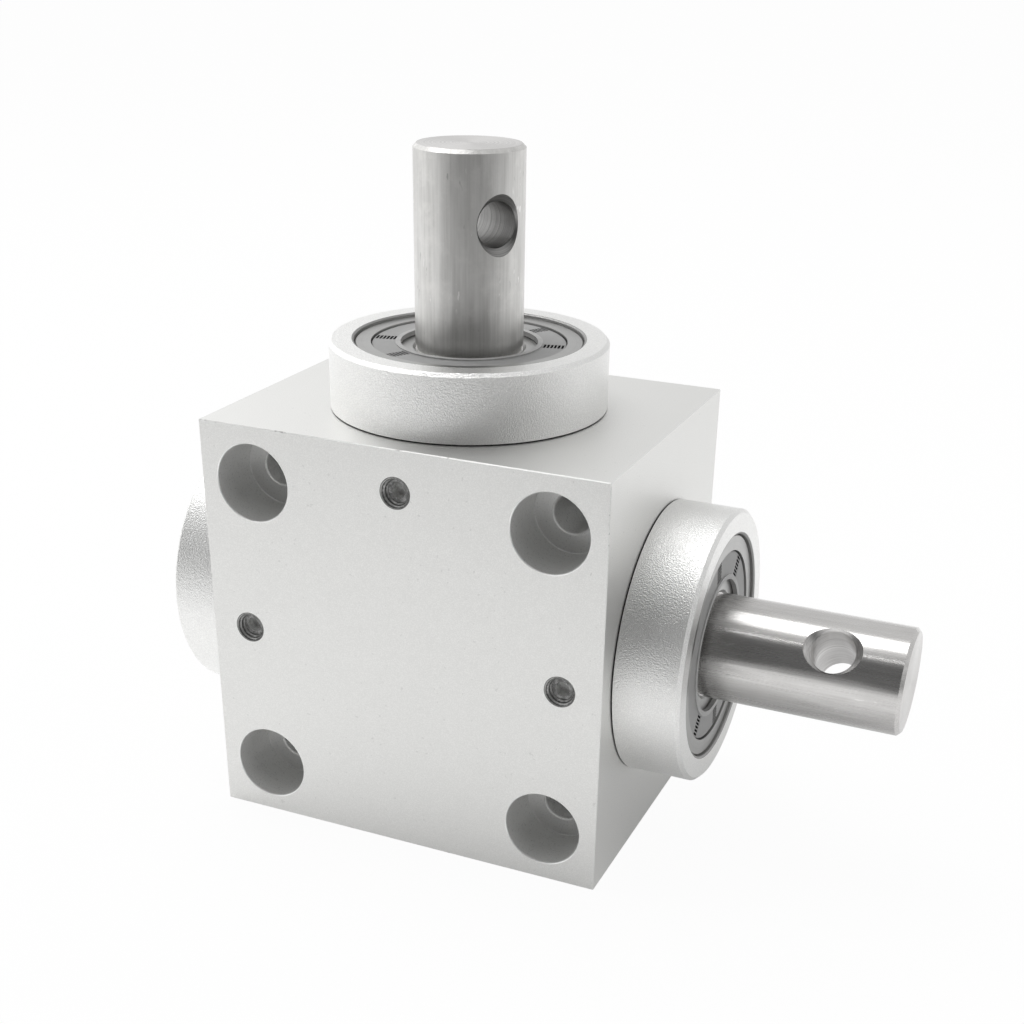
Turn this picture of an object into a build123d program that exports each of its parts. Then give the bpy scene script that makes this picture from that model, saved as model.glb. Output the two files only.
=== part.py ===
from build123d import *
from math import acos, asin, atan2, ceil, cos, pi, radians, sin, tan
import os

# Right angle gearbox with one through shaft and one branch shaft, joined by mitre gears
# of equal size in an aluminium block.
# Millimetres. The origin is where the two shaft axes cross. +X runs out along the through
# shaft, +Z out along the branch shaft, and -Y is the face with the counterbored holes.

# Shafts
shaft_diameter = 15.0
top_reach = 25.5
right_reach = 26.5
shaft_end_chamfer = 0.5
left_end_proud = 0.3
relief_width = 0.8
relief_depth = 0.25
relief_under_ring = 0.3

# Cross holes for shear pins, countersunk at both mouths
pin_hole_diameter = 6.0
pin_hole_mouth_diameter = 8.0
top_pin_hole_from_end = 9.5
right_pin_hole_from_end = 10.0
top_pin_hole_turn = -32.2
right_pin_hole_turn = 46.6
pin_hole_from_key = 52.5

# Sealed ball bearings
bearing_diameter = 32.0
bearing_width = 9.0
ball_diameter = 4.76
ball_count = 9
race_play = 0.02
groove_radius_extra = 0.1
shoulder_height = 0.93
ring_chamfer = 0.3
bore_chamfer = 0.4
inner_ring_recess = 0.8
seal_seat_step = 0.43
seal_thickness = 0.9
seal_recess = 0.25
seal_lip_height = 2.05
seal_bead_width = 0.7
seal_bead_height = 0.2
seal_gap = 0.08
seal_outer_edge = 0.25
seal_slot_length = 1.8
seal_slot_width = 0.34
seal_slot_pitch = 0.5
seal_slot_depth = 0.35
seal_slots = 6
seal_slot_group_turns = (-23.0, 23.0, 157.0, 203.0)
top_seal_turn = 37.0
right_seal_turn = -14.3
left_seal_turn = 60.0
cage_thickness = 1.7
cage_wall = 0.5
cage_pocket_gap = 0.1

# Mitre gears
gear_module = 2.0
gear_teeth = 16
gear_face = 6.0
pressure_angle = radians(20.0)
dedendum_share = 1.25
gear_backlash = 0.12
gear_back_web = 0.5
gear_gap = 0.5
space_overrun = radians(2.0)
hub_diameter = 24.0
hub_length = 6.0
sleeve_gap = 0.25

# Keys, snap rings and the branch gear's end washer
key_size = 3.0
key_in_shaft = 1.8
key_top_gap = 0.1
top_key_length = 5.4
right_key_length = 9.0
key_inset = 0.5
snap_ring_thickness = 1.0
snap_ring_depth = 0.35
snap_ring_side_gap = 0.1
snap_ring_opening = 3.0
snap_ring_gap = 0.1
washer_overlap = 2.0
washer_thickness = 2.5
shaft_end_gap = 0.3

# Bearing carriers: a collar outside the block and a spigot in its bore
spigot_wall = 2.0
spigot_clearance = 0.02
collar_overhang = 1.5
collar_height = 9.5
collar_edge_chamfer = 0.5
collar_foot_chamfer = 0.2
collar_rim_chamfer = 0.2
bearing_recess = 0.5
lip_thickness = 1.5
lip_height = 1.7
spigot_lead = 0.4

# Block and its holes
block_wall = 5.0
edge_break = 0.12
mounting_hole_diameter = 5.5
counterbore_diameter = 11.0
counterbore_depth = 8.0
counterbore_mouth_break = 0.14
counterbore_floor_corner = 0.1
mounting_hole_break = 0.2
mounting_hole_edge = 8.0
mounting_hole_web = 1.25

# Grub screws and the branch gear's end screw
screw_diameter = 4.0
thread_gap = 0.02
grub_screw_inset = 6.0
grub_screw_recess = 1.0
grub_screw_chamfer = 0.35
grub_socket = 2.0
grub_socket_depth = 1.6
grub_hole_mouth_diameter = 4.4
hub_screw_recess = 0.3
hub_screw_from_back = 3.0
end_screw_length = 12.0
end_screw_head_diameter = 8.0
end_screw_socket = 2.5
end_screw_socket_depth = 1.4
end_screw_hole_spare = 1.0

# Radii and places that follow from the sizes above
shaft_radius = shaft_diameter / 2
bearing_radius = bearing_diameter / 2
pitch_circle = (shaft_radius + bearing_radius) / 2
ball_radius = ball_diameter / 2
inner_race = pitch_circle - ball_radius - race_play
outer_race = pitch_circle + ball_radius + race_play
inner_shoulder = inner_race + shoulder_height
outer_shoulder = outer_race - shoulder_height
seal_seat = outer_shoulder + seal_seat_step
seal_lip = shaft_radius + seal_lip_height
sleeve_radius = seal_lip - sleeve_gap

pitch_angle = pi / 4
gear_pitch_radius = gear_module * gear_teeth / 2
cone_distance = gear_pitch_radius / sin(pitch_angle)
inner_cone_distance = cone_distance - gear_face
tip_cone = pitch_angle + atan2(gear_module, cone_distance)
root_cone = pitch_angle - atan2(dedendum_share * gear_module, cone_distance)
base_cone = asin(cos(pressure_angle) * sin(pitch_angle))


def beside_pitch_cone(distance, depth):
    """Radius and height of a point this far out on the pitch cone and this far above it."""
    return (
        distance * sin(pitch_angle) + depth * cos(pitch_angle),
        distance * cos(pitch_angle) - depth * sin(pitch_angle),
    )


inner_taper = inner_cone_distance / cone_distance
outer_tip = beside_pitch_cone(cone_distance, gear_module)
outer_root = beside_pitch_cone(cone_distance, -dedendum_share * gear_module)
inner_tip = beside_pitch_cone(inner_cone_distance, gear_module * inner_taper)
inner_root = beside_pitch_cone(
    inner_cone_distance, -dedendum_share * gear_module * inner_taper
)
gear_front = inner_root[1]
gear_back = outer_root[1] + gear_back_web

carrier_bore = max(bearing_radius + spigot_wall, outer_tip[0] + gear_gap)
spigot_radius = carrier_bore - spigot_clearance
collar_radius = carrier_bore + collar_overhang
spigot_depth = 2 * bearing_width + lip_thickness + bearing_recess - collar_height
block_half = max(
    ceil(gear_back + gear_gap) + spigot_depth,
    carrier_bore + mounting_hole_web + mounting_hole_diameter / 2 + mounting_hole_edge,
)
block_half_depth = carrier_bore + block_wall
spigot_end = block_half - spigot_depth
collar_face = block_half + collar_height
outer_bearing = collar_face - bearing_recess - bearing_width / 2
inner_bearing = spigot_end + bearing_width / 2
ring_half = bearing_width / 2 - inner_ring_recess
mounting_hole_offset = block_half - mounting_hole_edge
grub_screw_offset = block_half - grub_screw_inset
hub_end = gear_back + hub_length
washer_face = gear_front - washer_thickness

# Each carrier and shaft is drawn along +Z from the crossing of the axes, with the other
# gear on its +X side, and is then laid along its own direction.
up = Plane.XY
right = Plane(origin=(0, 0, 0), x_dir=(0, 0, 1), z_dir=(1, 0, 0))
left = Plane(origin=(0, 0, 0), x_dir=(0, 0, 1), z_dir=(-1, 0, 0))


def turned(outline):
    """A solid turned about Z from a closed outline of radius and height pairs."""
    return revolve(Plane.XZ * make_face(Polyline(*outline, close=True)), Axis.Z)


def tube(outer, inner, low, high):
    """A plain turned ring."""
    return turned([(inner, low), (outer, low), (outer, high), (inner, high)])


def hexagon_socket(across_flats, depth, face):
    """The hexagon hole that a key goes into, down from this height."""
    outline = RegularPolygon(across_flats / 2, 6, major_radius=False)
    return Pos(0, 0, face - depth) * extrude(outline, depth)


# Ball bearing


def outer_ring():
    """The fixed ring, with a raceway and a step at each side for the seal."""
    face = bearing_width / 2
    step = face - seal_recess - seal_thickness
    ring = turned(
        [
            (outer_shoulder, -step),
            (seal_seat, -step),
            (seal_seat, -face),
            (bearing_radius - ring_chamfer, -face),
            (bearing_radius, ring_chamfer - face),
            (bearing_radius, face - ring_chamfer),
            (bearing_radius - ring_chamfer, face),
            (seal_seat, face),
            (seal_seat, step),
            (outer_shoulder, step),
        ]
    )
    groove = ball_radius + groove_radius_extra
    return ring - Torus(outer_race - groove, groove)


def inner_ring():
    """The turning ring, narrower than the fixed one, with its raceway."""
    ring = turned(
        [
            (shaft_radius, bore_chamfer - ring_half),
            (shaft_radius + bore_chamfer, -ring_half),
            (inner_shoulder, -ring_half),
            (inner_shoulder, ring_half),
            (shaft_radius + bore_chamfer, ring_half),
            (shaft_radius, ring_half - bore_chamfer),
        ]
    )
    groove = ball_radius + groove_radius_extra
    return ring - Torus(inner_race + groove, groove)


def balls():
    """The balls, evenly spaced."""
    turns = [360 * number / ball_count for number in range(ball_count)]
    ball = Pos(pitch_circle, 0, 0) * Sphere(ball_radius)
    return Compound([Rot(0, 0, turn) * ball for turn in turns])


def cage():
    """The ring that spaces the balls, with a round pocket for each."""
    half = ball_radius + cage_pocket_gap + cage_wall
    ring = tube(pitch_circle + cage_thickness / 2, pitch_circle - cage_thickness / 2, -half, half)
    pocket = Pos(pitch_circle, 0, 0) * Rot(0, 90, 0) * Cylinder(
        ball_radius + cage_pocket_gap, 2 * cage_thickness
    )
    return ring - [Rot(0, 0, 360 * number / ball_count) * pocket for number in range(ball_count)]


def seal():
    """A rubber seal for the upper side, with groups of moulded slots in its face. Its lip
    reaches over the inner ring without touching."""
    face = bearing_width / 2 - seal_recess
    under = face - seal_thickness
    lip_under = ring_half + seal_gap
    bead = seal_lip + seal_bead_width
    ring = turned(
        [
            (seal_seat, face - seal_outer_edge),
            (seal_seat - seal_outer_edge, face),
            (bead, face),
            (bead, face + seal_bead_height),
            (seal_lip, face + seal_bead_height),
            (seal_lip, lip_under),
            (inner_shoulder + seal_gap, lip_under),
            (inner_shoulder + seal_gap, under),
            (seal_seat, under),
        ]
    )
    middle = (bead + seal_seat - seal_outer_edge) / 2
    slot = Box(seal_slot_width, seal_slot_length, 2 * seal_slot_depth)
    across = [seal_slot_pitch * (number - (seal_slots - 1) / 2) for number in range(seal_slots)]
    group = [Pos(middle + place, 0, face) * slot for place in across]
    return ring - [Rot(0, 0, turn) * cut for turn in seal_slot_group_turns for cut in group]


# Carriers and block


def carrier():
    """A collar and spigot in one piece, with a bearing seat on each side of an inner lip."""
    outer_seat = outer_bearing - bearing_width / 2
    inner_seat = inner_bearing + bearing_width / 2
    lip = bearing_radius - lip_height
    return turned(
        [
            (spigot_radius - spigot_lead, spigot_end),
            (spigot_radius, spigot_end + spigot_lead),
            (spigot_radius, block_half),
            (collar_radius - collar_foot_chamfer, block_half),
            (collar_radius, block_half + collar_foot_chamfer),
            (collar_radius, collar_face - collar_edge_chamfer),
            (collar_radius - collar_edge_chamfer, collar_face),
            (bearing_radius + collar_rim_chamfer, collar_face),
            (bearing_radius, collar_face - collar_rim_chamfer),
            (bearing_radius, outer_seat),
            (lip, outer_seat),
            (lip, inner_seat),
            (bearing_radius, inner_seat),
            (bearing_radius, spigot_end),
        ]
    )


def mounting_hole():
    """What one screw's stepped hole takes away, from the front face at 0 down to the back."""
    mouth = counterbore_diameter / 2
    hole = mounting_hole_diameter / 2
    floor = -counterbore_depth
    back = -2 * block_half_depth
    return turned(
        [
            (0, 0),
            (mouth + counterbore_mouth_break, 0),
            (mouth, -counterbore_mouth_break),
            (mouth, floor + counterbore_floor_corner),
            (mouth - counterbore_floor_corner, floor),
            (hole + mounting_hole_break, floor),
            (hole, floor - mounting_hole_break),
            (hole, back + mounting_hole_break),
            (hole + mounting_hole_break, back),
            (0, back),
        ]
    )


def grub_screw_hole():
    """What one tapped hole takes away, from the front face at 0 into the carrier's bore."""
    hole = screw_diameter / 2
    mouth = grub_hole_mouth_diameter / 2
    floor = -block_wall - spigot_wall / 2
    return turned([(0, 0), (mouth, 0), (hole, hole - mouth), (hole, floor), (0, floor)])


grub_screw_places = {
    "top": (0, grub_screw_offset),
    "right": (grub_screw_offset, 0),
    "left": (-grub_screw_offset, 0),
}


def block():
    """The housing: a squared block bored right through along X and down to it from the top."""
    body = Box(2 * block_half, 2 * block_half_depth, 2 * block_half)
    body = chamfer(body.edges(), edge_break)
    bore = Pos(0, 0, block_half) * Cylinder(carrier_bore, 2 * block_half)
    body -= [right * Cylinder(carrier_bore, 2 * block_half), bore]
    front = Plane(origin=(0, -block_half_depth, 0), x_dir=(1, 0, 0), z_dir=(0, -1, 0))
    corner = mounting_hole_offset
    body -= [
        front * Pos(across * corner, high * corner) * mounting_hole()
        for across in (-1, 1)
        for high in (-1, 1)
    ]
    body -= [front * Pos(*place) * grub_screw_hole() for place in grub_screw_places.values()]
    return body



def grub_screw(length):
    """A headless screw standing on 0, with its socket at the top."""
    radius = screw_diameter / 2 - thread_gap
    body = turned(
        [
            (0, 0),
            (radius - grub_screw_chamfer, 0),
            (radius, grub_screw_chamfer),
            (radius, length - grub_screw_chamfer),
            (radius - grub_screw_chamfer, length),
            (0, length),
        ]
    )
    return body - hexagon_socket(grub_socket, grub_socket_depth, length)


def carrier_screw(place):
    """A grub screw from the front face to the carrier's spigot."""
    length = block_wall + spigot_clearance - grub_screw_recess
    seat = Plane(origin=(0, -spigot_radius, 0), x_dir=(1, 0, 0), z_dir=(0, -1, 0))
    return seat * Pos(*place) * grub_screw(length)


# Mitre gears


def flank_turn(cone):
    """How far round its axis an involute flank has curved where it reaches this cone."""
    rolled = acos(min(1, cos(cone) / cos(base_cone))) / sin(base_cone)
    return rolled - acos(min(1, tan(base_cone) / tan(cone)))


def tooth_space_section(height):
    """The outline between two teeth, seen along the axis at this height from the apex."""
    outer_cone = tip_cone + space_overrun
    play = gear_backlash / gear_pitch_radius / 2
    at_pitch = pi / (2 * gear_teeth) + play / 2 - flank_turn(pitch_angle)
    steps = 5

    def point(cone, side):
        turn = side * (at_pitch + flank_turn(max(cone, base_cone)))
        reach = height * tan(cone)
        return (reach * cos(turn), reach * sin(turn), height)

    cones = [base_cone + (outer_cone - base_cone) * step / steps for step in range(steps + 1)]
    one, other = [[point(cone, side) for cone in cones] for side in (-1, 1)]
    foot = [point(root_cone, side) for side in (-1, 1)]
    edges = [
        Spline(*one),
        Line(one[-1], other[-1]),
        Spline(*reversed(other)),
        Line(other[0], foot[1]),
        Line(foot[1], foot[0]),
        Line(foot[0], one[0]),
    ]
    return make_face(edges)


def mitre_gear(hub_radius, hub_top, tooth_turn, key_turn):
    """A straight-toothed mitre gear with its apex at the origin and its hub above."""
    blank = turned(
        [
            (shaft_radius, gear_front),
            inner_root,
            inner_tip,
            outer_tip,
            (outer_root[0] - gear_back_web, gear_back),
            (hub_radius, gear_back),
            (hub_radius, hub_top),
            (shaft_radius, hub_top),
        ]
    )
    low, high = inner_tip[1] - gear_gap, gear_back + gear_gap
    space = loft([tooth_space_section(low), tooth_space_section(high)], ruled=True)
    pitch = 360 / gear_teeth
    spaces = [Rot(0, 0, tooth_turn + pitch * number) * space for number in range(gear_teeth)]
    top = shaft_radius - key_in_shaft + key_size + key_top_gap
    slot = Pos(top / 2, 0, (gear_front + hub_top) / 2) * Box(top, key_size, 2 * hub_top)
    return blank - spaces - Rot(0, 0, key_turn) * slot


def gear_key(low, length):
    """A round-ended key in the shaft at its +X side, starting at this height."""
    seat = Plane(
        origin=(shaft_radius - key_in_shaft, 0, low + length / 2), x_dir=(0, 0, 1), z_dir=(1, 0, 0)
    )
    return extrude(seat * SlotOverall(length, key_size), key_size)


# Shafts and what sits on them


def pin_hole(height):
    """What a cross hole and its two countersinks take away, turned clear of the key."""
    hole = pin_hole_diameter / 2
    mouth = pin_hole_mouth_diameter / 2
    depth = mouth - hole
    wide = mouth + depth
    high = shaft_radius + depth
    low = shaft_radius - depth
    cutter = turned(
        [(0, -high), (wide, -high), (hole, -low), (hole, low), (wide, high), (0, high)]
    )
    return Pos(0, 0, height) * Rot(0, 0, pin_hole_from_key) * Rot(0, 90, 0) * cutter


def ground_shaft(low, high, pin_hole_from_end):
    """A shaft with end chamfers, a grinding relief at the outer bearing and a cross hole."""
    end = shaft_radius - shaft_end_chamfer
    relief = shaft_radius - relief_depth
    relief_low = outer_bearing + ring_half - relief_under_ring
    body = turned(
        [
            (0, low),
            (end, low),
            (shaft_radius, low + shaft_end_chamfer),
            (shaft_radius, relief_low),
            (relief, relief_low),
            (relief, relief_low + relief_width),
            (shaft_radius, relief_low + relief_width),
            (shaft_radius, high - shaft_end_chamfer),
            (end, high),
            (0, high),
        ]
    )
    return body - pin_hole(high - pin_hole_from_end)


def snap_ring(low):
    """An open spring ring in its groove."""
    outer = sleeve_radius - snap_ring_gap
    ring = tube(outer, shaft_radius - snap_ring_depth, low, low + snap_ring_thickness)
    opening = Box(2 * outer, snap_ring_opening, 3 * snap_ring_thickness)
    return ring - Pos(-outer, 0, low) * opening


def snap_ring_groove(low, width):
    """What the groove takes away from the shaft."""
    return tube(shaft_radius + snap_ring_depth, shaft_radius - snap_ring_depth, low, low + width)


groove_width = snap_ring_thickness + snap_ring_side_gap
top_snap_ring_low = inner_bearing + ring_half
left_snap_ring_low = outer_bearing - ring_half - snap_ring_thickness
top_shaft_low = gear_front + shaft_end_gap
top_key_low = top_shaft_low + key_inset
right_key_low = hub_end - key_inset - right_key_length
top_key_turn = top_pin_hole_turn - pin_hole_from_key
right_key_turn = right_pin_hole_turn - pin_hole_from_key


def end_screw():
    """The countersunk screw that holds the branch gear's washer, head down."""
    head = end_screw_head_diameter / 2
    radius = screw_diameter / 2 - thread_gap
    tip = washer_face + end_screw_length
    body = turned(
        [
            (0, washer_face),
            (head, washer_face),
            (radius, washer_face + head - radius),
            (radius, tip - grub_screw_chamfer),
            (radius - grub_screw_chamfer, tip),
            (0, tip),
        ]
    )
    socket_end = washer_face + end_screw_socket_depth
    return body - hexagon_socket(end_screw_socket, end_screw_socket_depth, socket_end)


def end_washer():
    """The thick washer under the branch gear, countersunk for its screw."""
    outer = shaft_radius + washer_overlap
    head = end_screw_head_diameter / 2
    hole = screw_diameter / 2
    return turned(
        [
            (head + thread_gap, washer_face),
            (outer, washer_face),
            (outer, gear_front),
            (hole, gear_front),
            (hole, washer_face + head + thread_gap - hole),
        ]
    )


def top_shaft():
    """The branch shaft, with its key seat, snap ring groove and tapped inner end."""
    body = ground_shaft(top_shaft_low, collar_face + top_reach, top_pin_hole_from_end)
    body -= gear_key(top_key_low, top_key_length)
    body -= snap_ring_groove(top_snap_ring_low, groove_width)
    tapped_top = washer_face + end_screw_length + end_screw_hole_spare
    return body - tube(screw_diameter / 2, 0, top_shaft_low, tapped_top)


def through_shaft():
    """The through shaft, from inside the left bearing to the right hand free end."""
    low = -(outer_bearing + ring_half + left_end_proud)
    body = ground_shaft(low, collar_face + right_reach, right_pin_hole_from_end)
    body -= gear_key(right_key_low, right_key_length)
    groove_low = -(left_snap_ring_low + snap_ring_thickness)
    return body - snap_ring_groove(groove_low, groove_width)


hub_screw_length = hub_diameter / 2 - hub_screw_recess - shaft_radius
hub_screw_seat = Plane(
    origin=(0, shaft_radius, gear_back + hub_screw_from_back), x_dir=(0, 0, 1), z_dir=(0, 1, 0)
)


def through_gear():
    """The through shaft's gear, with a tooth at the mesh and a tapped hole in its hub."""
    gear = mitre_gear(hub_diameter / 2, hub_end, 180 / gear_teeth, right_key_turn)
    tapped = extrude(hub_screw_seat * Circle(screw_diameter / 2), hub_diameter / 2)
    return gear - Rot(0, 0, right_key_turn) * tapped


def branch_gear():
    """The branch shaft's gear, with a tooth space at the mesh. Its nose meets the bearing."""
    return mitre_gear(sleeve_radius, inner_bearing - ring_half, 0, top_key_turn)


# The whole gearbox, piece by piece

os.makedirs("parts", exist_ok=True)
pieces = {"housing_block": block()}

for name, direction in (("top", up), ("right", right), ("left", left)):
    pieces[f"{name}_carrier"] = direction * carrier()
    pieces[f"{name}_grub_screw"] = carrier_screw(grub_screw_places[name])

bearing_places = (
    ("top_outer", up, outer_bearing, top_seal_turn),
    ("top_inner", up, inner_bearing, top_seal_turn),
    ("right", right, outer_bearing, right_seal_turn),
    ("left", left, outer_bearing, left_seal_turn),
)
for name, direction, height, seal_turn in bearing_places:
    seat = direction.location * Pos(0, 0, height)
    sealed = seat * Rot(0, 0, seal_turn)
    pieces[f"{name}_bearing_outer_ring"] = seat * outer_ring()
    pieces[f"{name}_bearing_inner_ring"] = seat * inner_ring()
    pieces[f"{name}_bearing_balls"] = seat * balls()
    pieces[f"{name}_bearing_cage"] = seat * cage()
    pieces[f"{name}_bearing_front_seal"] = sealed * seal()
    pieces[f"{name}_bearing_back_seal"] = sealed * Rot(180, 0, 0) * seal()

right_turned = right.location * Rot(0, 0, right_key_turn)
pieces["through_shaft"] = right_turned * through_shaft()
pieces["through_gear"] = right.location * through_gear()
pieces["through_gear_key"] = right_turned * gear_key(right_key_low, right_key_length)
hub_screw = hub_screw_seat * grub_screw(hub_screw_length)
pieces["through_gear_grub_screw"] = right_turned * hub_screw
pieces["through_shaft_spacer"] = right.location * tube(
    sleeve_radius, shaft_radius, hub_end, outer_bearing - ring_half
)
pieces["through_shaft_snap_ring"] = left.location * snap_ring(left_snap_ring_low)

top_turned = up.location * Rot(0, 0, top_key_turn)
pieces["branch_shaft"] = top_turned * top_shaft()
pieces["branch_gear"] = branch_gear()
pieces["branch_gear_key"] = top_turned * gear_key(top_key_low, top_key_length)
pieces["branch_gear_washer"] = end_washer()
pieces["branch_gear_screw"] = end_screw()
pieces["branch_shaft_snap_ring"] = up.location * snap_ring(top_snap_ring_low)

for name, piece in pieces.items():
    export_step(piece, f"parts/{name}.step")

for name, value in (
    ("block half", block_half),
    ("block half depth", block_half_depth),
    ("spigot end", spigot_end),
    ("collar face", collar_face),
    ("carrier bore", carrier_bore),
    ("gear front", gear_front),
    ("gear back", gear_back),
):
    print(f"{name}: {value:.3f} mm")
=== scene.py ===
from math import cos, pi, radians, sin

import bmesh
import bpy
from mathutils import Matrix, Vector


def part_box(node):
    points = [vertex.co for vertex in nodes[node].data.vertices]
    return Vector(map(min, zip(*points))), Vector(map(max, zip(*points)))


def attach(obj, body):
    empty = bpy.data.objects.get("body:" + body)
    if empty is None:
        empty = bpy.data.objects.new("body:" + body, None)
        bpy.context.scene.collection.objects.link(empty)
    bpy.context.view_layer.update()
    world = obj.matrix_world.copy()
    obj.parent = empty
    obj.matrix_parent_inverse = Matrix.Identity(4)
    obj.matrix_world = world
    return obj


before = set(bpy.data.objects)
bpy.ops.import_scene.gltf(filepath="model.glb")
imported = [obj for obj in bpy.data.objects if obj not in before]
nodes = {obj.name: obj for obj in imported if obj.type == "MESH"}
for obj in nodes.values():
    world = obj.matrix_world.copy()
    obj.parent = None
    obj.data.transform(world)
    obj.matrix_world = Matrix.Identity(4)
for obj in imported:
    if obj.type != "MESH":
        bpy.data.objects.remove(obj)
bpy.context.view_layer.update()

# Housing block
# A sawn and milled block of aluminium, bead blasted to a fine even grain and then clear
# anodised. The screw holes were bored after blasting, so their walls are smoother and darker,
# but the bolt holes' walls are painted light, white.

block_low, block_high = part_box("housing_block")
block_grain = 6500.0
block_relief = 0.000012
block_rough, flash_rough, bored_rough = 0.47, 0.38, 0.38
block_colour = (0.79, 0.79, 0.775, 1.0)
flecked_colour = (0.835, 0.835, 0.82, 1.0)
# Painted light: the white of the painted edge highlights and of the bolt holes' walls.
painted_light_colour = (1.0, 1.0, 0.99, 1.0)
scuffed_colour = (0.45, 0.45, 0.44, 1.0)
# Painted shade for the upper edges' left end.
edge_shade_colour = (0.40, 0.40, 0.395, 1.0)
nicked_colour = (0.12, 0.12, 0.118, 1.0)
bored_colour = (0.74, 0.74, 0.73, 1.0)
bored_ring_colour = (0.86, 0.86, 0.85, 1.0)
pitted_colour = (0.40, 0.40, 0.395, 1.0)
tapped_colour = (0.26, 0.26, 0.255, 1.0)
screw_hole_offset = 0.022
screw_hole_wall = 0.00552
mouth_half_width = 0.00007
head_hole_floor = -0.0148
bolt_hole_wall = 0.0029
grub_hole_offset = 0.024
grub_hole_mouth = 0.00226
edge_width = 0.0002
upper_edge = 0.0295
# The upper edges' nicks and painted shade gather at the left end, their painted highlight at the right.
worn_and_shaded_until, worn_and_shaded_from = 0.0, -0.012
highlight_from, highlight_until = -0.008, 0.012
scuff_centre = (0.0266, 0.0, 0.0178)
scuff_radius = 0.0012


def node(tree, kind, inputs=(), **settings):
    """Adds a shader node. inputs gives a value or another node's output for each socket."""
    made = tree.nodes.new(kind)
    for name, value in settings.items():
        setattr(made, name, value)
    for name, value in dict(inputs).items():
        if isinstance(value, bpy.types.NodeSocket):
            tree.links.new(value, made.inputs[name])
        else:
            made.inputs[name].default_value = value
    return made


def maths(tree, operation, *values):
    """The result of one sum, from numbers and outputs."""
    made = node(tree, "ShaderNodeMath", enumerate(values), operation=operation)
    return made.outputs[0]


def remap(tree, value, low, high, to_low=0.0, to_high=1.0, way="LINEAR"):
    """A value moved from one range to another and held within it."""
    sockets = {"Value": value, "From Min": low, "From Max": high, "To Min": to_low, "To Max": to_high}
    return node(tree, "ShaderNodeMapRange", sockets, interpolation_type=way).outputs[0]


def noise(tree, where, scale, detail=2.0, roughness=0.5):
    """A noise value from 0 to 1 at a place."""
    sockets = {"Vector": where, "Scale": scale, "Detail": detail, "Roughness": roughness}
    return node(tree, "ShaderNodeTexNoise", sockets).outputs["Fac"]


def tint(tree, share, colour, other):
    """A colour between two others."""
    made = node(tree, "ShaderNodeMix", {"Factor": share}, data_type="RGBA")
    for socket, value in ((made.inputs[6], colour), (made.inputs[7], other)):
        if isinstance(value, bpy.types.NodeSocket):
            tree.links.new(value, socket)
        else:
            socket.default_value = value
    return made.outputs[2]


def blend(tree, share, value, other):
    """A number between two others."""
    return maths(tree, "MULTIPLY_ADD", maths(tree, "SUBTRACT", other, value), share, value)


def stretched(tree, where, scale):
    """A place with each direction scaled by itself, for streaks."""
    made = node(tree, "ShaderNodeVectorMath", {0: where, 1: scale}, operation="MULTIPLY")
    return made.outputs[0]


def length_of(tree, *values):
    """The length of a vector with these one, two or three sides."""
    sides = node(tree, "ShaderNodeCombineXYZ", enumerate(values)).outputs[0]
    return node(tree, "ShaderNodeVectorMath", {0: sides}, operation="LENGTH").outputs["Value"]


def new_group(name, inputs, outputs):
    """An empty node group with named sockets, and its two end nodes."""
    tree = bpy.data.node_groups.new(name, "ShaderNodeTree")
    for socket, kind in inputs.items():
        tree.interface.new_socket(socket, in_out="INPUT", socket_type=kind)
    for socket, kind in outputs.items():
        tree.interface.new_socket(socket, in_out="OUTPUT", socket_type=kind)
    return tree, tree.nodes.new("NodeGroupInput").outputs, tree.nodes.new("NodeGroupOutput").inputs


def placed(tree, group, **inputs):
    """A copy of a node group in a material, with its values. Gives its outputs."""
    made = tree.nodes.new("ShaderNodeGroup")
    made.node_tree = group
    for name, value in inputs.items():
        if isinstance(value, bpy.types.NodeSocket):
            tree.links.new(value, made.inputs[name])
        else:
            made.inputs[name].default_value = value
    return made.outputs


def new_material(name, **fixed):
    """A material with its shader, the object's own coordinates and their three parts."""
    material = bpy.data.materials.new(name)
    material.use_nodes = True
    tree = material.node_tree
    shader = tree.nodes["Principled BSDF"]
    for socket, value in fixed.items():
        shader.inputs[socket.replace("_", " ")].default_value = value
    where = node(tree, "ShaderNodeTexCoord").outputs["Object"]
    parts = node(tree, "ShaderNodeSeparateXYZ", {0: where}).outputs
    return material, tree, shader, where, parts


def finish_surface(tree, shader, colour, roughness, height, distance):
    """Joins colour, roughness and relief to the shader."""
    bump = node(tree, "ShaderNodeBump", {"Height": height, "Distance": distance})
    tree.links.new(colour, shader.inputs["Base Color"])
    tree.links.new(roughness, shader.inputs["Roughness"])
    tree.links.new(bump.outputs[0], shader.inputs["Normal"])


def dress(material, *names):
    """Gives CAD nodes their material."""
    for name in names:
        for place in nodes[name].material_slots:
            place.material = material


# Blasting leaves overlapping dimples, with a few grains that flash and a slow mottle.
blast, given, result = new_group(
    "bead_blast",
    {"Vector": "NodeSocketVector", "Grain": "NodeSocketFloat"},
    {"Height": "NodeSocketFloat", "Glint": "NodeSocketFloat", "Mottle": "NodeSocketFloat"},
)
coarse = maths(blast, "MULTIPLY", given["Grain"], 0.8)
dimples = node(blast, "ShaderNodeTexVoronoi", {"Vector": given["Vector"], "Scale": coarse})
fine = noise(blast, given["Vector"], given["Grain"], 3.0, 0.65)
relief = maths(blast, "MULTIPLY_ADD", dimples.outputs["Distance"], 0.5, fine)
blast.links.new(relief, result["Height"])
flash = noise(blast, given["Vector"], maths(blast, "MULTIPLY", given["Grain"], 1.2), 0.0)
blast.links.new(remap(blast, flash, 0.42, 0.72), result["Glint"])
blast.links.new(noise(blast, given["Vector"], 420.0, 4.0, 0.6), result["Mottle"])

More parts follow.
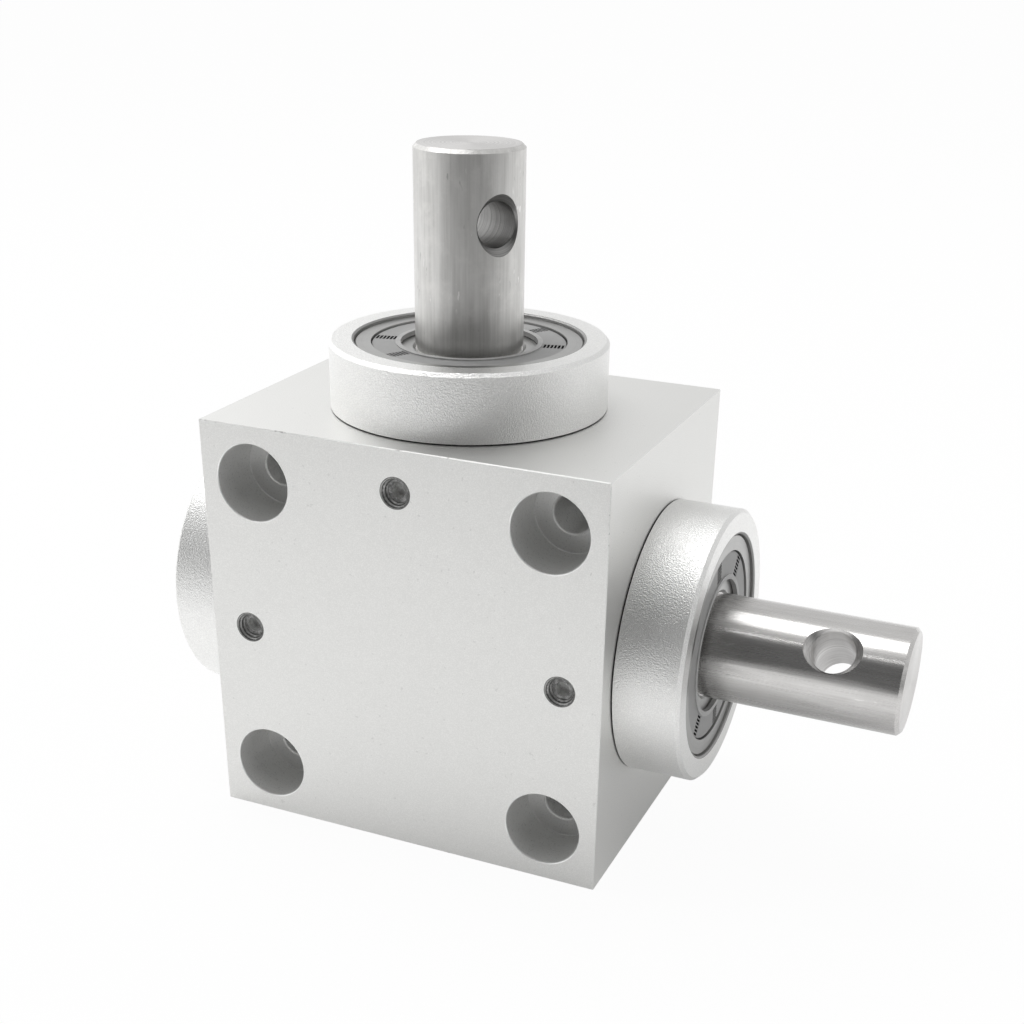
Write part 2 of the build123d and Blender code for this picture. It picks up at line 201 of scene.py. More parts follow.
# A cutting tool leaves fine rings about its axis. The place is given with that axis along Z.
rings, given, result = new_group(
    "tool_rings",
    {"Vector": "NodeSocketVector", "Fineness": "NodeSocketFloat"},
    {"Height": "NodeSocketFloat", "Radius": "NodeSocketFloat"},
)
parts = node(rings, "ShaderNodeSeparateXYZ", {0: given["Vector"]}).outputs
radius = length_of(rings, parts[0], parts[1])
across = node(rings, "ShaderNodeCombineXYZ", {0: radius, 1: parts[2]}).outputs[0]
rings.links.new(noise(rings, across, given["Fineness"], 4.0, 0.7), result["Height"])
rings.links.new(radius, result["Radius"])

material, tree, shader, where, parts = new_material("blasted_block", Metallic=1.0)
grain = placed(tree, blast, Vector=where, Grain=block_grain)

# The counterbores and the bolt holes behind them, found by the distance from their axes.
beside = [maths(tree, "SUBTRACT", maths(tree, "ABSOLUTE", parts[i]), screw_hole_offset) for i in (0, 2)]
reach = length_of(tree, *beside)
before_floor = maths(tree, "LESS_THAN", parts[1], head_hole_floor)
in_head_hole = maths(tree, "MULTIPLY", before_floor, maths(tree, "LESS_THAN", reach, screw_hole_wall))
in_bolt_hole = maths(tree, "LESS_THAN", reach, bolt_hole_wall)
bored = maths(tree, "MAXIMUM", in_head_hole, in_bolt_hole)
about_hole = node(tree, "ShaderNodeCombineXYZ", {0: beside[0], 1: beside[1], 2: parts[1]}).outputs[0]
turned = placed(tree, rings, Vector=about_hole, Fineness=3500.0)

# The edges. They have small nicks. The upper ones carry painted shade at the left end and a
# painted highlight at the right, and the counterbores' mouths carry a painted highlight too.
gaps = [maths(tree, "SUBTRACT", block_high[i], maths(tree, "ABSOLUTE", parts[i])) for i in range(3)]
nearest = maths(tree, "MINIMUM", gaps[0], gaps[1])
other = maths(tree, "MINIMUM", maths(tree, "MAXIMUM", gaps[0], gaps[1]), gaps[2])
edge = remap(tree, maths(tree, "MAXIMUM", nearest, other), 0.0, edge_width, 1.0, 0.0)
upper = maths(tree, "GREATER_THAN", parts[2], upper_edge)
worn_and_shaded_end = remap(tree, parts[0], worn_and_shaded_from, worn_and_shaded_until, 1.0, 0.0)
ragged = maths(tree, "MULTIPLY_ADD", worn_and_shaded_end, 0.05, noise(tree, where, 480.0, 3.0))
nicks = maths(tree, "MULTIPLY", edge, remap(tree, ragged, 0.655, 0.69))
painted_edge_shade = maths(tree, "MULTIPLY", edge, maths(tree, "MULTIPLY", worn_and_shaded_end, 0.75))
painted_edge_shade = maths(tree, "MULTIPLY", painted_edge_shade, upper)
painted_edge_highlight = remap(tree, parts[0], highlight_from, highlight_until)
painted_edge_highlight = maths(tree, "MULTIPLY", maths(tree, "MULTIPLY", painted_edge_highlight, upper), edge)
# A painted highlight round each counterbore's mouth.
mouth = maths(tree, "COMPARE", reach, screw_hole_wall + mouth_half_width, mouth_half_width)
mouth = maths(tree, "MULTIPLY", mouth, before_floor)
painted_edge_highlight = maths(tree, "MAXIMUM", painted_edge_highlight, mouth)

# A round scuff under one counterbore, broken here and there, and a few dark specks.
from_scuff = [maths(tree, "SUBTRACT", parts[i], scuff_centre[i]) for i in (0, 2)]
off_ring = maths(tree, "ABSOLUTE", maths(tree, "SUBTRACT", length_of(tree, *from_scuff), scuff_radius))
broken = remap(tree, noise(tree, where, 900.0, 1.0), 0.50, 0.60)
scuff = maths(tree, "MULTIPLY", remap(tree, off_ring, 0.00004, 0.0001, 0.6, 0.0), broken)
speck = remap(tree, noise(tree, where, 1500.0, 1.0), 0.745, 0.77, 0.0, 0.22)

# The blasted skin and the bored walls, each with its marks laid over it.
flecked = remap(tree, grain["Mottle"], 0.3, 0.7, -0.04, 0.04)
flecked = maths(tree, "ADD", grain["Glint"], flecked)
blasted = tint(tree, flecked, block_colour, flecked_colour)
blasted = tint(tree, maths(tree, "MAXIMUM", scuff, speck), blasted, scuffed_colour)
# Painted highlight on the edges and mouths, then painted shade at the upper edges' left end.
blasted = tint(tree, painted_edge_highlight, blasted, painted_light_colour)
blasted = tint(tree, painted_edge_shade, blasted, edge_shade_colour)
blasted = tint(tree, nicks, blasted, nicked_colour)
smooth = tint(tree, turned["Height"], bored_colour, bored_ring_colour)
# Painted light: the bolt holes' walls are tinted white, where shade would fall in them.
smooth = tint(tree, in_bolt_hole, smooth, painted_light_colour)
pitted = remap(tree, noise(tree, where, 3800.0, 2.0, 0.7), 0.30, 0.44, 0.45, 0.0)
smooth = tint(tree, pitted, smooth, pitted_colour)
colour = tint(tree, bored, blasted, smooth)

# The walls of the three tapped holes, at the left, the right and the top of the front face.
front_side = maths(tree, "LESS_THAN", parts[1], 0.0)
across = (parts[0], parts[2])
grub_reaches = []
for along, over in ((0, 1), (1, 0)):
    beyond = maths(tree, "ABSOLUTE", across[along]) if along == 0 else across[along]
    beyond = maths(tree, "SUBTRACT", beyond, grub_hole_offset)
    grub_reaches.append(length_of(tree, beyond, across[over]))
grub_reach = maths(tree, "MINIMUM", *grub_reaches)
tapped = maths(tree, "MULTIPLY", maths(tree, "LESS_THAN", grub_reach, grub_hole_mouth), front_side)
colour = tint(tree, tapped, colour, tapped_colour)

rough = remap(tree, grain["Glint"], 0.0, 1.0, block_rough, flash_rough)
roughness = blend(tree, bored, rough, bored_rough)
quiet = maths(tree, "MULTIPLY", turned["Height"], 0.35)
height = blend(tree, bored, grain["Height"], quiet)
finish_surface(tree, shader, colour, roughness, height, block_relief)
tree.links.new(remap(tree, bored, 0.0, 1.0, 1.0, 0.45), shader.inputs["Metallic"])
dress(material, "housing_block")

# Bearing carriers
# Three turned aluminium carriers, blasted with a coarser bead than the block, so that their
# collars sparkle. Each is pushed into its bore and held by a grub screw.

carrier_bore = 0.0163
carrier_foot = block_high.z + 0.00017
carrier_grain = 5600.0
carrier_relief = 0.00007
carrier_colour = (0.86, 0.86, 0.85, 1.0)
sparkle_colour = (0.95, 0.95, 0.935, 1.0)
# Painted shade: the carriers' bores are painted dark.
bore_shade_colour = (0.34, 0.34, 0.335, 1.0)
# The dark joint at each collar's foot, with painted shade in the crease.
joint_and_shade_colour = (0.06, 0.06, 0.06, 1.0)
carriers = {"top_carrier": (0, 1, 2), "right_carrier": (1, 2, 0), "left_carrier": (1, 2, 0)}
for carrier, (*sides, along) in carriers.items():
    material, tree, shader, where, parts = new_material(f"blasted_{carrier}", Metallic=1.0)
    grain = placed(tree, blast, Vector=where, Grain=carrier_grain)
    blasted = tint(tree, grain["Glint"], carrier_colour, sparkle_colour)
    from_axis = length_of(tree, *(parts[side] for side in sides))
    # The bore inside each carrier gets painted shade.
    bored = maths(tree, "LESS_THAN", from_axis, carrier_bore)
    colour = tint(tree, bored, blasted, bore_shade_colour)
    # A thin strip of each collar at the block's face is painted near black: the dark joint, with painted
    # shade in the crease.
    foot = maths(tree, "LESS_THAN", maths(tree, "ABSOLUTE", parts[along]), carrier_foot)
    colour = tint(tree, foot, colour, joint_and_shade_colour)
    roughness = remap(tree, grain["Glint"], 0.0, 1.0, 0.38, 0.30)
    finish_surface(tree, shader, colour, roughness, grain["Height"], carrier_relief)
    dress(material, carrier)

# Threads of the grub screw holes
# The tapped holes for the carriers' grub screws, seen in the mouth above each screw. The
# thread is cut in the block's own aluminium, so it is a thin lining with a helical ridge.

thread_pitch = 0.0005
thread_start = 0.00002
thread_mouth = 0.00216
thread_narrowing = 0.52
thread_ridge = 0.00012
tapped_mouth = 0.0022
tapped_radius = 0.0020
lining_gap = 0.000012
lining_end_gap = 0.00002
thread_colour = (0.50, 0.50, 0.49, 1.0)
groove_dark_colour = (0.17, 0.17, 0.168, 1.0)


def thread_lining(name, centre, depth, steps=72, rows=40):
    """A ring with a helical ridge inside, from just under the front face to this depth."""
    front = block_low.y
    mesh = bmesh.new()
    inner, outer = [], []
    for row in range(rows + 1):
        down = thread_start + (depth - thread_start) * row / rows
        walls = ([], [])
        for step in range(steps):
            turn = 2 * pi * step / steps
            phase = (down / thread_pitch + step / steps) % 1.0
            ridge = 1.0 - abs(2.0 * phase - 1.0)
            sizes = (
                thread_mouth - thread_narrowing * down - thread_ridge * ridge,
                max(tapped_mouth - down, tapped_radius) - lining_gap,
            )
            for wall, size in zip(walls, sizes):
                place = (centre[0] + size * cos(turn), front + down, centre[1] + size * sin(turn))
                wall.append(mesh.verts.new(place))
        inner.append(walls[0])
        outer.append(walls[1])
    rims = [(inner[row], outer[row]) for row in (0, rows)]
    for low, high in list(zip(inner, inner[1:])) + list(zip(outer, outer[1:])) + rims:
        for step in range(steps):
            after = (step + 1) % steps
            mesh.faces.new((low[step], low[after], high[after], high[step]))
    bmesh.ops.recalc_face_normals(mesh, faces=mesh.faces)
    data = bpy.data.meshes.new(name)
    mesh.to_mesh(data)
    mesh.free()
    data.shade_smooth()
    piece = bpy.data.objects.new(name, data)
    bpy.context.scene.collection.objects.link(piece)
    return piece


def thread_surface(name, centre):
    """Cut aluminium, darker along the thread's groove, which winds about this centre."""
    material, tree, shader, where, parts = new_material(name, Metallic=0.8)
    beside = [maths(tree, "SUBTRACT", parts[i], c) for i, c in zip((0, 2), centre)]
    turn = maths(tree, "DIVIDE", maths(tree, "ARCTAN2", beside[1], beside[0]), 2 * pi)
    down = maths(tree, "DIVIDE", maths(tree, "SUBTRACT", parts[1], block_low.y), thread_pitch)
    phase = maths(tree, "FRACT", maths(tree, "ADD", down, turn))
    groove = maths(tree, "ABSOLUTE", maths(tree, "SUBTRACT", phase, 0.5))
    ragged = remap(tree, noise(tree, where, 2600.0, 3.0), 0.3, 0.7, -0.15, 0.15)
    # Darker along the thread's groove.
    groove_darkening = maths(tree, "ADD", groove, ragged)
    colour = tint(tree, remap(tree, groove_darkening, 0.12, 0.42), thread_colour, groove_dark_colour)
    finish_surface(tree, shader, colour, remap(tree, groove_darkening, 0.1, 0.5, 0.34, 0.6), groove_darkening, distance=0.00001)
    return material


thread_places = {
    "top_grub_screw": (0.0, grub_hole_offset),
    "right_grub_screw": (grub_hole_offset, 0.0),
    "left_grub_screw": (-grub_hole_offset, 0.0),
}
for screw, centre in thread_places.items():
    name = screw.replace("grub_screw", "thread")
    lining = thread_lining(name, centre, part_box(screw)[0].y - block_low.y - lining_end_gap)
    lining.data.materials.append(thread_surface(name, centre))
    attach(lining, "housing")

# Grub screws and the end screw
# Steel socket screws whose black skin has worn to a dull grey. The three in the block's
# front hold the carriers, one holds the through gear, and the end screw the branch gear.

screw_colour = (0.16, 0.16, 0.157, 1.0)
rubbed_colour = (0.34, 0.34, 0.335, 1.0)
socket_colour = (0.62, 0.62, 0.61, 1.0)
socket_light = (0.95, 0.95, 0.94, 1.0)
socket_start = 0.00005
socket_end = 0.0025
material, tree, shader, where, parts = new_material("dulled_steel")
cloud = noise(tree, where, 1800.0, 4.0, 0.6)
rubbed = remap(tree, cloud, 0.42, 0.66)
colour = tint(tree, rubbed, screw_colour, rubbed_colour)
screw_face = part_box("top_grub_screw")[0].y
beyond_face = maths(tree, "GREATER_THAN", parts[1], screw_face + socket_start)
before_end = maths(tree, "LESS_THAN", parts[1], screw_face + socket_end)
in_socket = maths(tree, "MULTIPLY", beyond_face, before_end)
filled = tint(tree, rubbed, socket_colour, socket_light)
colour = tint(tree, in_socket, colour, filled)
tree.links.new(remap(tree, in_socket, 0.0, 1.0, 0.85, 0.3), shader.inputs["Metallic"])
roughness = remap(tree, cloud, 0.3, 0.7, 0.55, 0.36)
finish_surface(tree, shader, colour, roughness, cloud, distance=0.00001)
dress(
    material, "top_grub_screw", "right_grub_screw", "left_grub_screw",
    "through_gear_grub_screw", "branch_gear_screw",
)

# Branch shaft
# A 15 mm steel bar, turned and left with a satin skin. Handling has drawn soft streaks along
# it, its end face shows the lathe's rings, and a countersunk cross hole goes through it.

branch_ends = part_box("branch_shaft")
branch_hole_from_end = 0.0095
branch_hole = (0.0, 0.0, branch_ends[1].z - branch_hole_from_end)
branch_hole_angles = (0.0, pi / 2, radians(-32.2))
face_depth = 0.00004
hole_mouth = 0.0042
shaft_skin = 0.00747
hole_rough, face_rough = 0.30, 0.33
chip_colour = (0.95, 0.94, 0.93, 1.0)
dent_colour = (0.38, 0.38, 0.37, 1.0)


def about_hole_axis(tree, where, centre, angles):
    """A place seen from a cross hole, with the hole's axis along Z."""
    moved = node(tree, "ShaderNodeVectorMath", {0: where, 1: centre}, operation="SUBTRACT").outputs[0]
    return node(
        tree, "ShaderNodeVectorRotate", {"Vector": moved, "Rotation": angles},
        rotation_type="EULER_XYZ", invert=True,
    ).outputs[0]


def along_x(tree, parts):
    """A place with X turned to Z, for marks about a shaft that lies along X."""
    return node(tree, "ShaderNodeCombineXYZ", {0: parts[1], 1: parts[2], 2: parts[0]}).outputs[0]


def drawn_noise(tree, where, along, fine, long, detail, roughness):
    """A noise that is fine across a bar and drawn out along it."""
    scale = [fine, fine, fine]
    scale[along] = long
    return noise(tree, stretched(tree, where, scale), 1.0, detail, roughness)


def shaft_surface(name, along, ends, hole, hole_angles, look):
    """Makes a shaft's material: skin, end face and cross hole, each found by its place."""
    material, tree, shader, where, parts = new_material(
        name, Metallic=1.0, Anisotropic=look["drawn"], Anisotropic_Rotation=0.25
    )

    # The skin: fine hairlines and soft bands along the bar, under slow blotches.
    hair = drawn_noise(tree, where, along, 2600.0, 55.0, 3.0, 0.6)
    band = drawn_noise(tree, where, along, 900.0, 130.0, 2.0, 0.5)
    blotch = noise(tree, where, 330.0, 4.0, 0.65)
    streak = maths(tree, "MULTIPLY_ADD", hair, 0.5, maths(tree, "MULTIPLY", band, 0.5))
    skin = tint(tree, remap(tree, streak, 0.35, 0.65), look["dark"], look["light"])
    skin = tint(tree, remap(tree, blotch, 0.5, 0.75, 0.0, look["blotch"]), skin, look["worn"])
    skin_rough = remap(tree, hair, 0.3, 0.7, look["rough"] + 0.05, look["rough"] - 0.04)

    # The wall's tone comes from the look; in the ground shaft it is painted light.
    # The cross hole's wall, scored by the drill, and the end faces with the lathe's rings.
    laid = about_hole_axis(tree, where, hole, hole_angles)
    drilled = placed(tree, rings, Vector=laid, Fineness=5200.0)
    from_axis = length_of(tree, *(parts[i] for i in range(3) if i != along))
    in_hole = maths(tree, "LESS_THAN", drilled["Radius"], hole_mouth)
    in_hole = maths(tree, "MULTIPLY", in_hole, maths(tree, "LESS_THAN", from_axis, shaft_skin))
    score = remap(tree, drilled["Height"], 0.35, 0.7)
    wall = tint(tree, score, look["wall"], look["score"])
    about_axis = where if along == 2 else along_x(tree, parts)
    turned_end = placed(tree, rings, Vector=about_axis, Fineness=3800.0)
    past_low = maths(tree, "LESS_THAN", parts[along], ends[0][along] + face_depth)
    past_high = maths(tree, "GREATER_THAN", parts[along], ends[1][along] - face_depth)
    past = maths(tree, "MAXIMUM", past_low, past_high)
    facing = tint(tree, remap(tree, turned_end["Height"], 0.35, 0.65), look["faced"], look["bright"])

    # Short bright scratches and dark dents, only in some patches.
    patchy = remap(tree, noise(tree, where, 210.0, 2.0), 0.5, 0.62)
    scratch = drawn_noise(tree, where, along, 1500.0, 480.0, 2.0, 0.6)
    chip = maths(tree, "MULTIPLY", remap(tree, scratch, 0.65, 0.71), patchy)
    dent = maths(tree, "MULTIPLY", remap(tree, scratch, 0.32, 0.27), patchy)
    skin = tint(tree, maths(tree, "MULTIPLY", chip, look["chips"]), skin, chip_colour)
    skin = tint(tree, maths(tree, "MULTIPLY", dent, look["chips"]), skin, dent_colour)

    colour = tint(tree, past, tint(tree, in_hole, skin, wall), facing)
    rough = blend(tree, in_hole, skin_rough, hole_rough)
    rough = blend(tree, past, rough, face_rough)
    height = blend(tree, in_hole, hair, maths(tree, "MULTIPLY", drilled["Height"], 2.0))
    height = blend(tree, past, height, maths(tree, "MULTIPLY", turned_end["Height"], 1.6))
    finish_surface(tree, shader, colour, rough, height, look["relief"])
    drawn = node(tree, "ShaderNodeTangent", direction_type="RADIAL", axis="XYZ"[along])
    tree.links.new(drawn.outputs[0], shader.inputs["Tangent"])
    return material


satin = {
    "dark": (0.57, 0.565, 0.55, 1.0), "light": (0.70, 0.695, 0.68, 1.0), "worn": (0.78, 0.77, 0.75, 1.0),
    "wall": (0.40, 0.395, 0.39, 1.0), "score": (0.20, 0.20, 0.195, 1.0), "chips": 0.8,
    "faced": (0.52, 0.51, 0.50, 1.0), "bright": (0.80, 0.79, 0.78, 1.0),
    "blotch": 0.6, "rough": 0.34, "drawn": 0.5, "relief": 0.00002,
}
dress(
    shaft_surface("satin_shaft", 2, branch_ends, branch_hole, branch_hole_angles, satin),
    "branch_shaft",
)

# Through shaft
# The same bar ground bright, so that it mirrors the room in long bands. Its end face is
# plain, and its cross hole still has the drill's rings, on a wall painted light.

through_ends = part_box("through_shaft")
through_hole_from_end = 0.010
through_hole = (through_ends[1].x - through_hole_from_end, 0.0, 0.0)
through_hole_angles = (radians(43.4), 0.0, 0.0)
ground = {
    "dark": (0.57, 0.56, 0.55, 1.0), "light": (0.68, 0.67, 0.66, 1.0), "worn": (0.76, 0.75, 0.74, 1.0),
    # The hole's wall is painted light, lighter than the skin.
    "wall": (0.84, 0.83, 0.82, 1.0), "score": (0.46, 0.45, 0.44, 1.0), "chips": 0.35,
    "faced": (0.60, 0.59, 0.58, 1.0), "bright": (0.70, 0.69, 0.68, 1.0),
    "blotch": 0.25, "rough": 0.26, "drawn": 0.8, "relief": 0.000005,
}
dress(
    shaft_surface("ground_shaft", 0, through_ends, through_hole, through_hole_angles, ground),
    "through_shaft",
)

# Ball bearing rings, spacer, keys and washer
# Hardened steel rings, ground on every face, with the grinder's rings about each axis. The
# sleeve, keys and washer beside them are plain ground steel.

ring_sets = {
    "upright": (
        "top_outer_bearing_outer_ring", "top_outer_bearing_inner_ring",
        "top_inner_bearing_outer_ring", "top_inner_bearing_inner_ring",
        "branch_gear_washer", "branch_gear_key",
    ),
    "lying": (
        "right_bearing_outer_ring", "right_bearing_inner_ring",
        "left_bearing_outer_ring", "left_bearing_inner_ring",
        "through_shaft_spacer", "through_gear_key",
    ),
}
ring_colour = (0.36, 0.36, 0.355, 1.0)
ring_light = (0.50, 0.50, 0.49, 1.0)
stain_colour = (0.30, 0.30, 0.295, 1.0)
for name, members in ring_sets.items():
    material, tree, shader, where, parts = new_material(f"ground_ring_{name}", Metallic=1.0)
    laid = where if name == "upright" else along_x(tree, parts)
    turned = placed(tree, rings, Vector=laid, Fineness=4200.0)
    stain = noise(tree, where, 500.0, 3.0)
    colour = tint(tree, turned["Height"], ring_colour, ring_light)
    colour = tint(tree, remap(tree, stain, 0.55, 0.85, 0.0, 0.15), colour, stain_colour)
    roughness = remap(tree, stain, 0.3, 0.7, 0.30, 0.36)
    finish_surface(tree, shader, colour, roughness, turned["Height"], distance=0.000003)
    dress(material, *members)

# Bearing seals
# Moulded rubber rings bonded to a steel washer, one on each side of every bearing. The
# groups of slots are deep and painted near black as painted shade, and the lip carries a
# raised bead, painted lighter than the face as painted light.

slot_bottom = 0.00008
bead_height = 0.0002
bead_radius = 0.0103
rubber_colour, dusty_colour = (0.33, 0.33, 0.328, 1.0), (0.39, 0.39, 0.387, 1.0)
# Painted light: the bead is the same rubber painted lighter, with and without dust.
lit_bead_colour, lit_dusty_bead_colour = (0.42, 0.42, 0.415, 1.0), (0.52, 0.52, 0.515, 1.0)
# Painted shade: the slots are painted near black.
slot_shade_colour = (0.03, 0.03, 0.03, 1.0)
seal_axes = {
    "top_outer_bearing": ("upright", 2, 1.0), "top_inner_bearing": ("upright", 2, 1.0),
    "right_bearing": ("lying", 0, 1.0), "left_bearing": ("lying", 0, -1.0),
}
for bearing, (lie, along, way) in seal_axes.items():
    material, tree, shader, where, parts = new_material(
        f"{bearing}_rubber", Metallic=0.0, Specular_IOR_Level=0.45
    )
    low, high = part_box(f"{bearing}_front_seal")
    bead_top = high[along] if way > 0 else -low[along]
    depth = maths(tree, "SUBTRACT", bead_top - bead_height, maths(tree, "MULTIPLY", parts[along], way))
    laid = where if lie == "upright" else along_x(tree, parts)
    turned = placed(tree, rings, Vector=laid, Fineness=1800.0)
    on_face = maths(tree, "GREATER_THAN", turned["Radius"], bead_radius)
    painted_slot_shade = maths(tree, "MULTIPLY", maths(tree, "GREATER_THAN", depth, slot_bottom), on_face)
    bloom = noise(tree, where, 700.0, 4.0, 0.6)
    dust = remap(tree, bloom, 0.35, 0.7)
    face = tint(tree, dust, rubber_colour, dusty_colour)
    bead = tint(tree, dust, lit_bead_colour, lit_dusty_bead_colour)
    # The bead is painted lighter than the face, as painted light.
    colour = tint(tree, on_face, bead, face)
    # The slots get painted shade.
    colour = tint(tree, painted_slot_shade, colour, slot_shade_colour)
    roughness = remap(tree, bloom, 0.3, 0.7, 0.42, 0.6)
    grained = maths(tree, "MULTIPLY_ADD", noise(tree, where, 5200.0, 2.0), 0.5, turned["Height"])
    finish_surface(tree, shader, colour, roughness, grained, distance=0.000008)
    dress(material, f"{bearing}_front_seal", f"{bearing}_back_seal")

# Balls and cages
# Polished steel balls, and cages pressed from sheet steel, with a faint texture and a film
# of grease. The cages keep the balls of a bearing apart.

ball_colour, ball_light = (0.70, 0.70, 0.70, 1.0), (0.82, 0.82, 0.81, 1.0)
cage_colour, cage_light = (0.36, 0.35, 0.33, 1.0), (0.55, 0.54, 0.51, 1.0)
bearings = ("top_outer_bearing", "top_inner_bearing", "right_bearing", "left_bearing")
material, tree, shader, where, parts = new_material("polished_ball", Metallic=1.0)
haze = noise(tree, where, 900.0, 3.0)
colour = tint(tree, haze, ball_colour, ball_light)
finish_surface(tree, shader, colour, remap(tree, haze, 0.3, 0.7, 0.05, 0.12), haze, distance=0.000001)
dress(material, *(f"{bearing}_balls" for bearing in bearings))

material, tree, shader, where, parts = new_material("pressed_cage", Metallic=1.0)
haze = noise(tree, where, 1800.0, 4.0, 0.6)
colour = tint(tree, remap(tree, haze, 0.4, 0.65), cage_colour, cage_light)
finish_surface(tree, shader, colour, remap(tree, haze, 0.3, 0.7, 0.28, 0.45), haze, distance=0.00001)
dress(material, *(f"{bearing}_cage" for bearing in bearings))

# Mitre gears and snap rings
# Gears cut from alloy steel, with streaky lighter patches, and spring rings
# with a dark phosphate skin.

gear_colour, gear_light = (0.26, 0.26, 0.27, 1.0), (0.48, 0.48, 0.48, 1.0)
spring_colour, spring_light = (0.07, 0.07, 0.075, 1.0), (0.16, 0.16, 0.165, 1.0)
material, tree, shader, where, parts = new_material("cut_gear", Metallic=1.0)
cut = noise(tree, stretched(tree, where, (1.0, 4.0, 1.0)), 1300.0, 4.0, 0.6)
colour = tint(tree, remap(tree, cut, 0.35, 0.65), gear_colour, gear_light)
finish_surface(tree, shader, colour, remap(tree, cut, 0.3, 0.7, 0.42, 0.26), cut, distance=0.00001)
dress(material, "through_gear", "branch_gear")

material, tree, shader, where, parts = new_material("phosphated_spring", Metallic=1.0)
skin = noise(tree, where, 3000.0, 3.0)
colour = tint(tree, skin, spring_colour, spring_light)
finish_surface(tree, shader, colour, remap(tree, skin, 0.3, 0.7, 0.5, 0.38), skin, distance=0.000008)
dress(material, "through_shaft_snap_ring", "branch_shaft_snap_ring")

# Floor
# A plain white sheet under the gearbox. For all rays but the camera's it is painted darker at
# the front right, as a table is beyond the lamps, and painted with a shadow close round the
# gearbox's foot; it also takes the gearbox's real shadow.

floor_half = 6.0
floor_rough = 0.9
camera_share, mirror_share, mirror_level = 0.95, 0.30, 1.3
far_direction = (0.62, -0.785)
far_start, far_end, far_level = 0.09, 0.34, 0.30
foot_centre = (0.026, 0.026)
foot_start, foot_end, foot_level = 0.022, 0.078, 0.60
mesh = bmesh.new()
corners = [(floor_half * x, floor_half * y) for x, y in ((-1, -1), (1, -1), (1, 1), (-1, 1))]
mesh.faces.new([mesh.verts.new((x, y, block_low.z)) for x, y in corners])
data = bpy.data.meshes.new("floor")
mesh.to_mesh(data)
mesh.free()
floor = bpy.data.objects.new("floor", data)
bpy.context.scene.collection.objects.link(floor)

material = bpy.data.materials.new("white_floor")
material.use_nodes = True
tree = material.node_tree
shader = tree.nodes["Principled BSDF"]
shader.inputs["Roughness"].default_value = floor_rough
where = node(tree, "ShaderNodeTexCoord").outputs["Object"]
parts = node(tree, "ShaderNodeSeparateXYZ", {0: where}).outputs
# Painted shade for all rays but the camera's: darker towards the front right.
outwards = maths(tree, "MULTIPLY", parts[1], far_direction[1])
outwards = maths(tree, "MULTIPLY_ADD", parts[0], far_direction[0], outwards)
painted_floor_shade = remap(tree, outwards, far_start, far_end, 1.0, far_level, "SMOOTHSTEP")
# A painted shadow round the gearbox's foot, for all rays but the camera's.
beside = [maths(tree, "SUBTRACT", parts[i], centre) for i, centre in enumerate(foot_centre)]
from_foot = length_of(tree, *beside)
painted_foot_shadow = remap(tree, from_foot, foot_start, foot_end, foot_level, 1.0, "SMOOTHSTEP")
painted_floor_shade = maths(tree, "MULTIPLY", painted_floor_shade, painted_foot_shadow)
in_camera = node(tree, "ShaderNodeLightPath").outputs["Is Camera Ray"]
level = blend(tree, in_camera, painted_floor_shade, 1.0)
shade = node(tree, "ShaderNodeCombineColor", {0: level, 1: level, 2: level}).outputs[0]
tree.links.new(shade, shader.inputs["Base Color"])
strength = maths(tree, "MULTIPLY", level, blend(tree, in_camera, mirror_level, 1.0))
glow = node(tree, "ShaderNodeEmission", {"Strength": strength})
share = blend(tree, in_camera, mirror_share, camera_share)
mixed = node(tree, "ShaderNodeMixShader", {0: share, 1: shader.outputs[0], 2: glow.outputs[0]})
tree.links.new(mixed.outputs[0], tree.nodes["Material Output"].inputs["Surface"])
floor.data.materials.append(material)

# Light
# A white tent, a little brighter at the left, with a softbox overhead and a thin strip in
# front of it. The tent's front side is dim, which draws the dark bands in the shafts.

tent_level = 0.76
left_level = 1.25
dim_level = 0.13
world = bpy.data.worlds.new("tent")
bpy.context.scene.world = world
world.use_nodes = True
tree = world.node_tree
direction = node(tree, "ShaderNodeTexCoord").outputs["Generated"]
parts = node(tree, "ShaderNodeSeparateXYZ", {0: direction}).outputs
front = remap(tree, parts[1], -0.68, 0.05, 1.0, 0.0, "SMOOTHSTEP")
low_down = remap(tree, parts[2], 0.85, 0.97, 1.0, 0.0)
dim = maths(tree, "MULTIPLY", front, low_down)
dim = maths(tree, "MULTIPLY", dim, remap(tree, parts[0], -0.80, -0.40, 0.45, 1.0))
from_left = remap(tree, parts[0], -0.9, -0.25, left_level, tent_level, "SMOOTHSTEP")
tent = blend(tree, dim, from_left, dim_level)
in_camera = node(tree, "ShaderNodeLightPath").outputs["Is Camera Ray"]
strength = blend(tree, in_camera, tent, 1.0)
tree.links.new(strength, tree.nodes["Background"].inputs["Strength"])
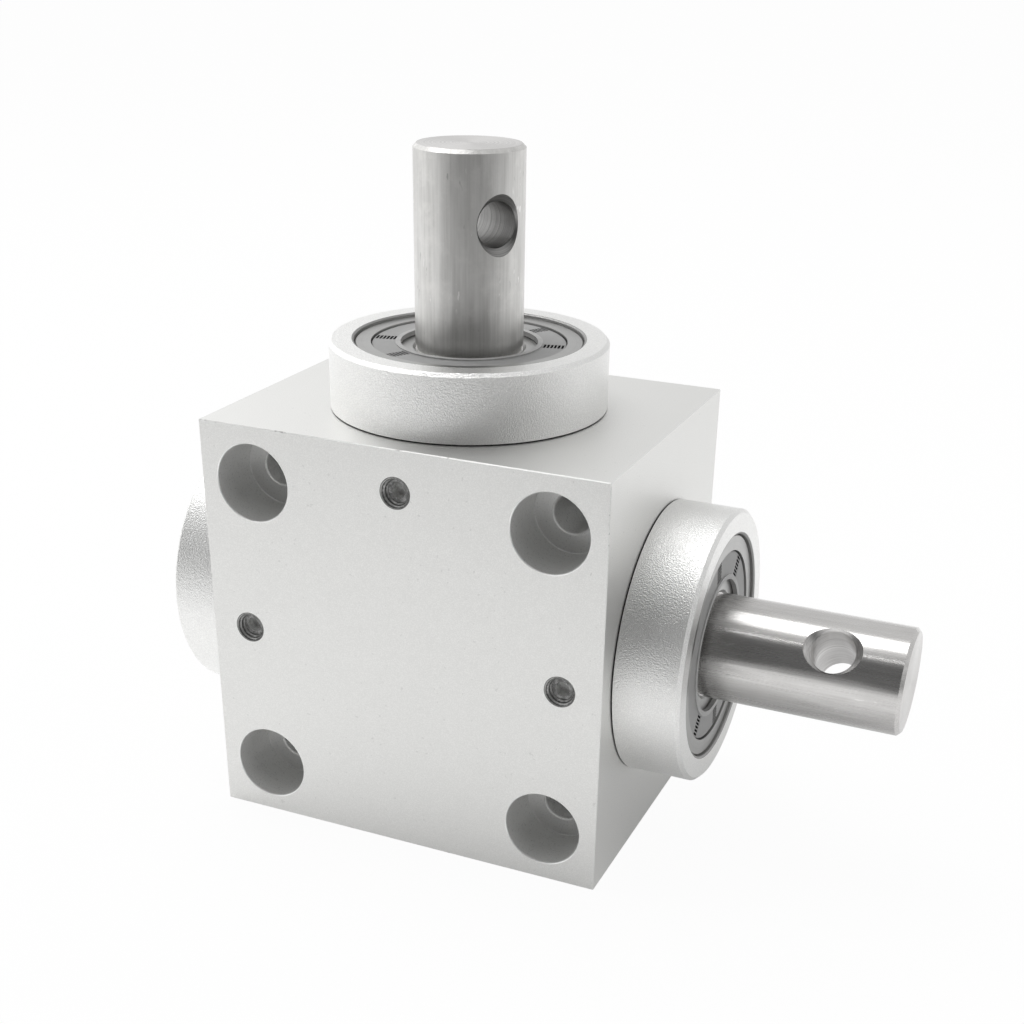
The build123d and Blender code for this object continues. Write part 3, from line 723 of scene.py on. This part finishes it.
tree.nodes["Background"].inputs["Color"].default_value = (1.0, 1.0, 1.0, 1.0)


def softbox(name, place, sizes, power):
    """A rectangular area light that faces the gearbox, with its first side level along X."""
    lamp = bpy.data.lights.new(name, "AREA")
    lamp.shape = "RECTANGLE"
    lamp.size, lamp.size_y = sizes
    lamp.energy = power
    holder = bpy.data.objects.new(name, lamp)
    facing = Vector(place).normalized()
    along = (Vector((1.0, 0.0, 0.0)) - facing * facing.x).normalized()
    turn = Matrix((along, facing.cross(along), facing)).transposed()
    holder.matrix_world = Matrix.Translation(place) @ turn.to_4x4()
    bpy.context.scene.collection.objects.link(holder)


softbox("overhead_softbox", place=(-0.28, 0.10, 0.74), sizes=(0.56, 0.40), power=2.1)
softbox("strip_light", place=(-0.30, -0.40, 0.735), sizes=(0.9, 0.022), power=0.28)

# Camera
# The photograph's view: close, a little above, from the front right. It was cropped below
# its middle, so the lens is shifted up.

camera_turn, camera_height, camera_roll = radians(23.345), radians(27.322), radians(0.853)
camera_slide = Vector((-0.006273, 0.014686, 0.227374))
frame_pixels = 1024.0
focal_pixels = 1508.8
middle_pixels = (510.9, 695.4)
back = Vector((
    sin(camera_turn) * cos(camera_height), -cos(camera_turn) * cos(camera_height), sin(camera_height)
))
level = Vector((cos(camera_turn), sin(camera_turn), 0.0))
above = back.cross(level)
side = level * cos(camera_roll) + above * sin(camera_roll)
head = above * cos(camera_roll) - level * sin(camera_roll)
lens = bpy.data.cameras.new("camera")
lens.sensor_width = 36.0
lens.lens = focal_pixels / frame_pixels * lens.sensor_width
lens.shift_x = (frame_pixels / 2 - middle_pixels[0]) / frame_pixels
lens.shift_y = (middle_pixels[1] - frame_pixels / 2) / frame_pixels
lens.clip_start = 0.01
camera = bpy.data.objects.new("camera", lens)
place = back * camera_slide.z - side * camera_slide.x - head * camera_slide.y
camera.matrix_world = Matrix.Translation(place) @ Matrix((side, head, back)).transposed().to_4x4()
bpy.context.scene.collection.objects.link(camera)
bpy.context.scene.camera = camera
bpy.context.scene.view_settings.view_transform = "Standard"
